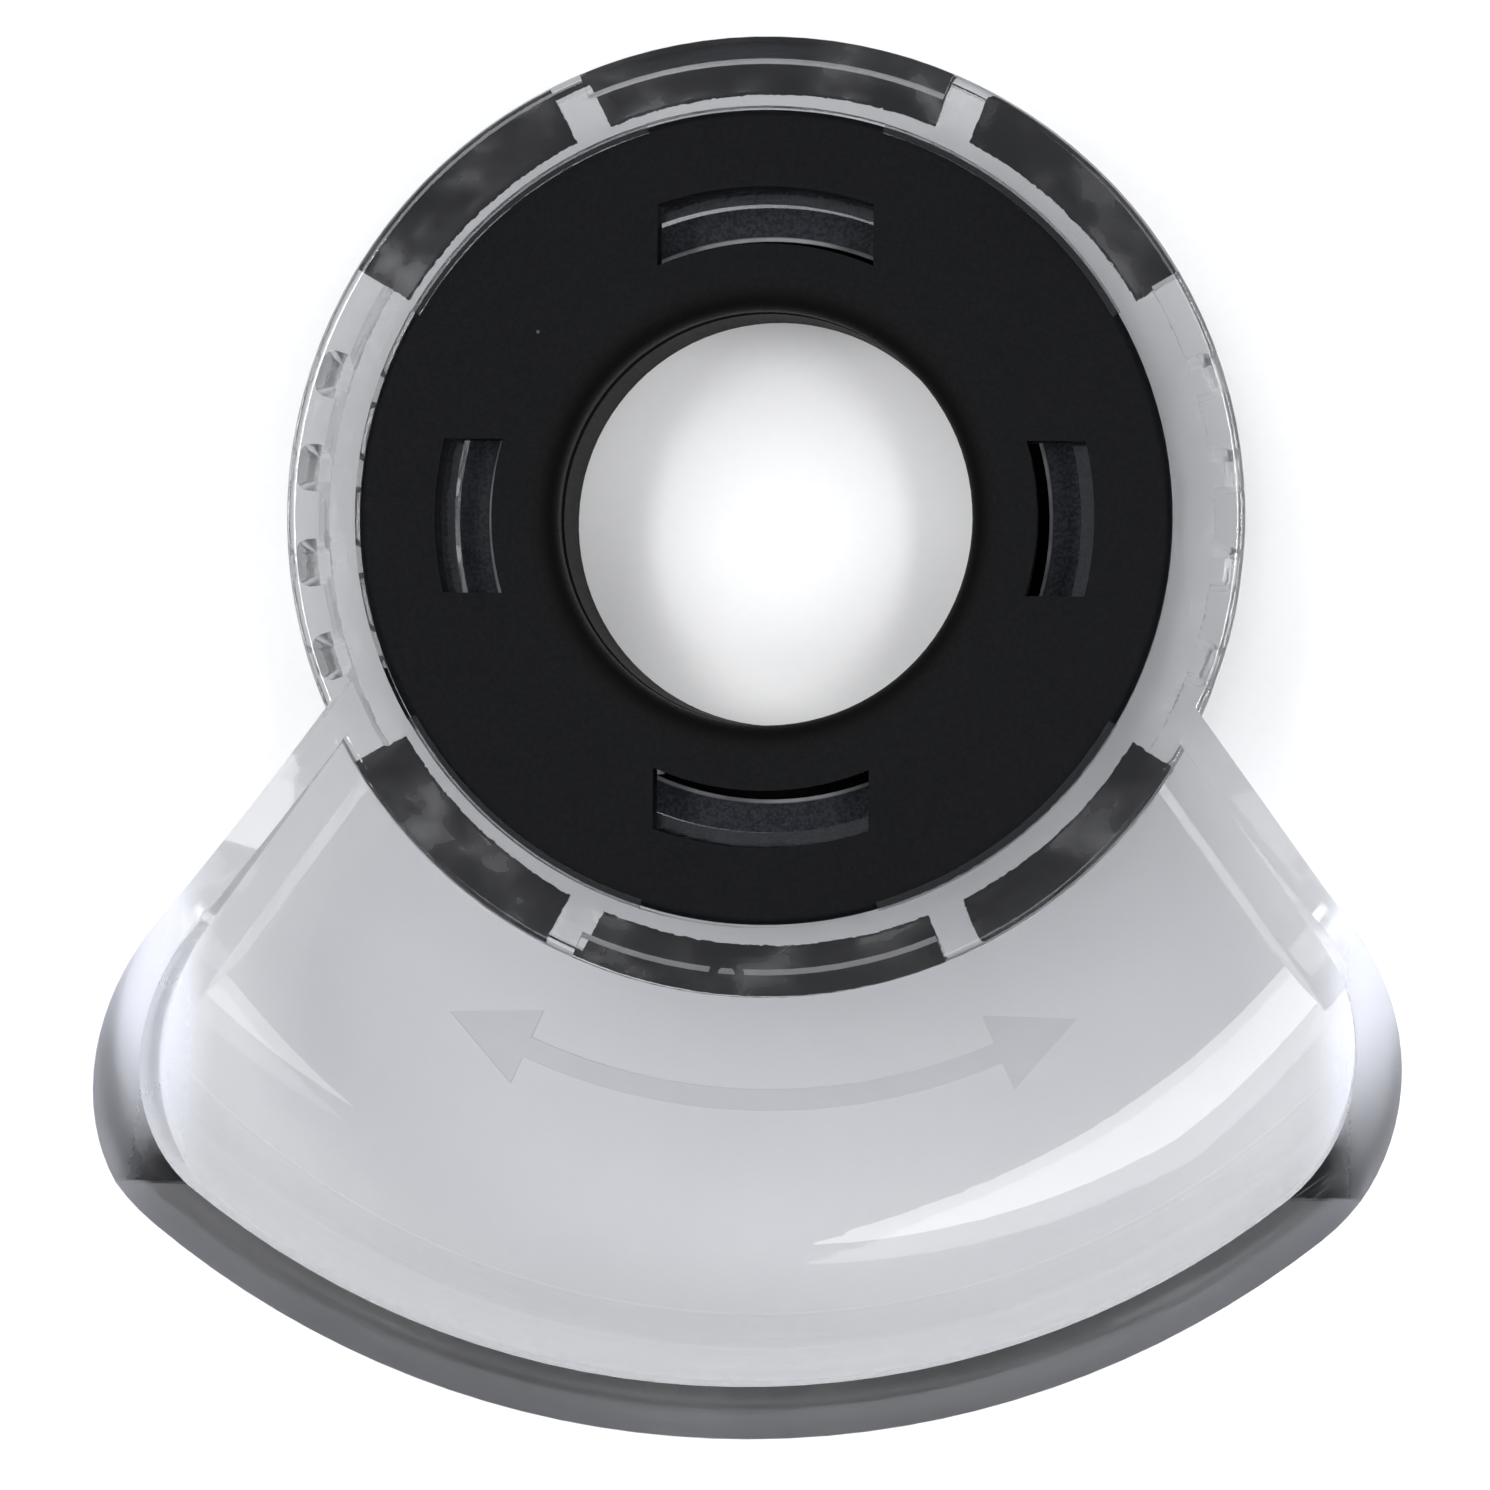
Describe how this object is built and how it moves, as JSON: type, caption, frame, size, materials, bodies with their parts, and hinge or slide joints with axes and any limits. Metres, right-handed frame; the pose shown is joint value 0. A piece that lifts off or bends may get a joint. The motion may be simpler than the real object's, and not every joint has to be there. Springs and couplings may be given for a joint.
{
  "type": "rotary tool debris shield",
  "caption": "Clear fan-shaped visor that swivels on a matte black threaded collar, which screws on the nose of a handheld rotary tool to stop chips and sparks.",
  "frame": {"origin": "on the collar's axis, at its rear face, which rests on the table and meets the tool", "axes": "+Z along the thread, the way the tool points; the visor reaches out towards -Y; +X to the right"},
  "size_m": [0.0534, 0.0576, 0.0206],
  "materials": {
    "black_plastic": "matte black moulded plastic, fine texture on the disc, glossy on the finger tips",
    "clear_plastic": "polished clear polycarbonate"
  },
  "bodies": {
    "collar": {"threaded_collar": "black_plastic"},
    "swivel_shield": {"shield": "clear_plastic"}
  },
  "joints": [
    {"name": "shield_swivel", "type": "hinge", "parent": "collar", "child": "swivel_shield", "pos_m": [0, 0, 0.0063], "axis": [0, 0, 1], "continuous": true}
  ]
}
